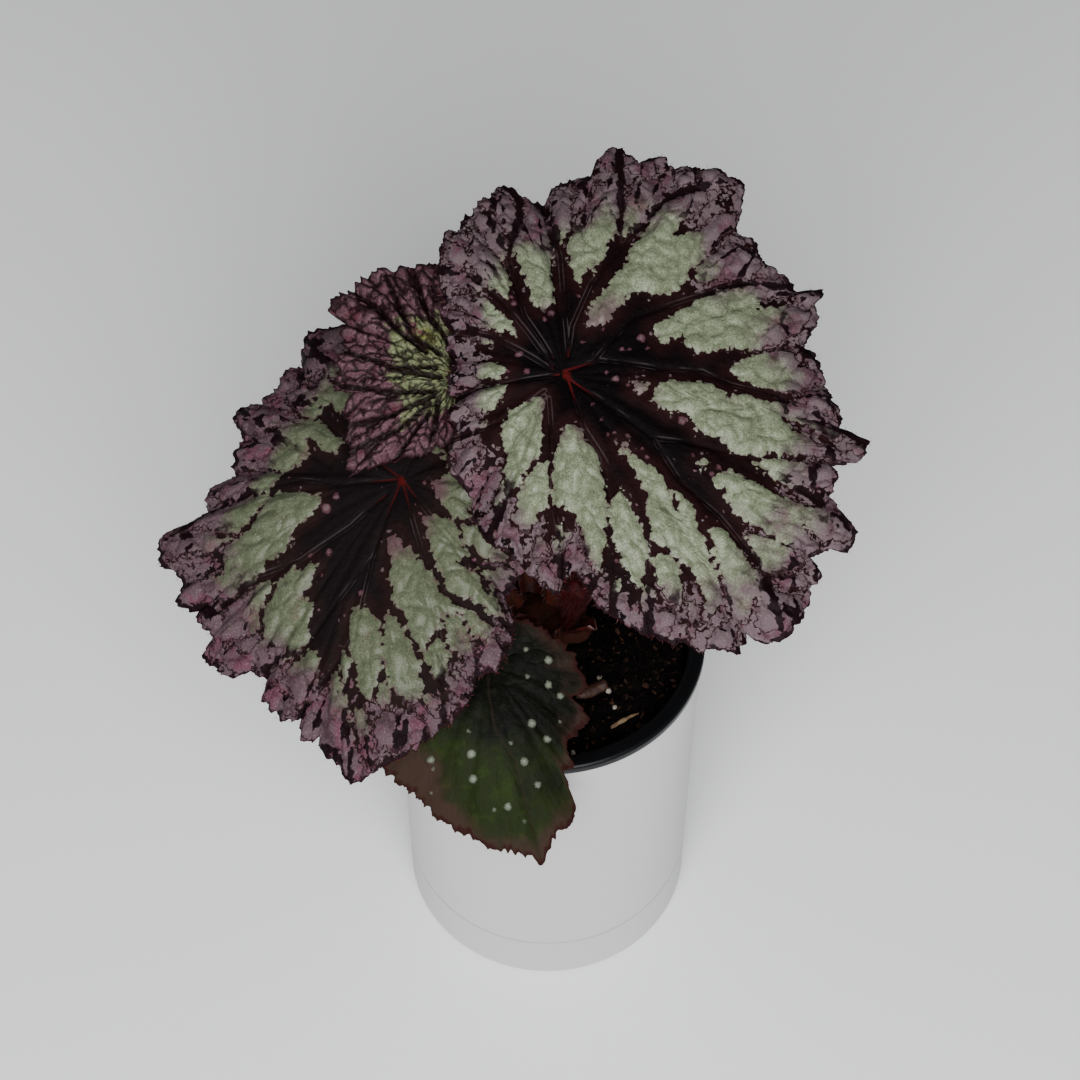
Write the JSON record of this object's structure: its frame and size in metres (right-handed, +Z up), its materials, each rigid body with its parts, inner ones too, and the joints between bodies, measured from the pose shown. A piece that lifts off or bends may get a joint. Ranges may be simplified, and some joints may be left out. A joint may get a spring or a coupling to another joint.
{
  "type": "potted rex begonia",
  "caption": "Potted rex begonia: broad toothed leaves on arching stems from a crown in soil, in a nursery liner hung in a plain round pot.",
  "frame": {"origin": "centre of the pot's underside, on the surface that it stands on", "axes": "+Z up; -Y towards the front, where the smallest leaf hangs over the rim; +X to the right seen from the front"},
  "size_m": [0.24, 0.206, 0.2747],
  "materials": {
    "pot": "smooth, satin, off-white",
    "liner": "thin moulded nursery plastic, softly glossy",
    "soil": "rough, crumbly peat and bark with white grains",
    "rootstock": "fleshy, with papery brown scales",
    "young_growth": "dark red, velvety with fine hairs",
    "dry_scale": "dry and papery",
    "stem": "fleshy, dark red, hairy",
    "leaf": "satin, puckered; silver-green and mauve islands round near-black maroon veins",
    "green_leaf": "satin, dark slate green with pale dots and a red-brown margin"
  },
  "bodies": {
    "root": {"pot": "pot", "liner": "liner", "soil": "soil", "rootstock": "rootstock", "furled_leaf": "young_growth", "fallen_scale": "dry_scale", "stem_large": "stem", "stem_left": "stem", "stem_young": "stem", "stem_front": "stem", "leaf_large": "leaf", "leaf_left": "leaf", "leaf_young": "leaf", "leaf_front": "green_leaf"}
  },
  "joints": []
}
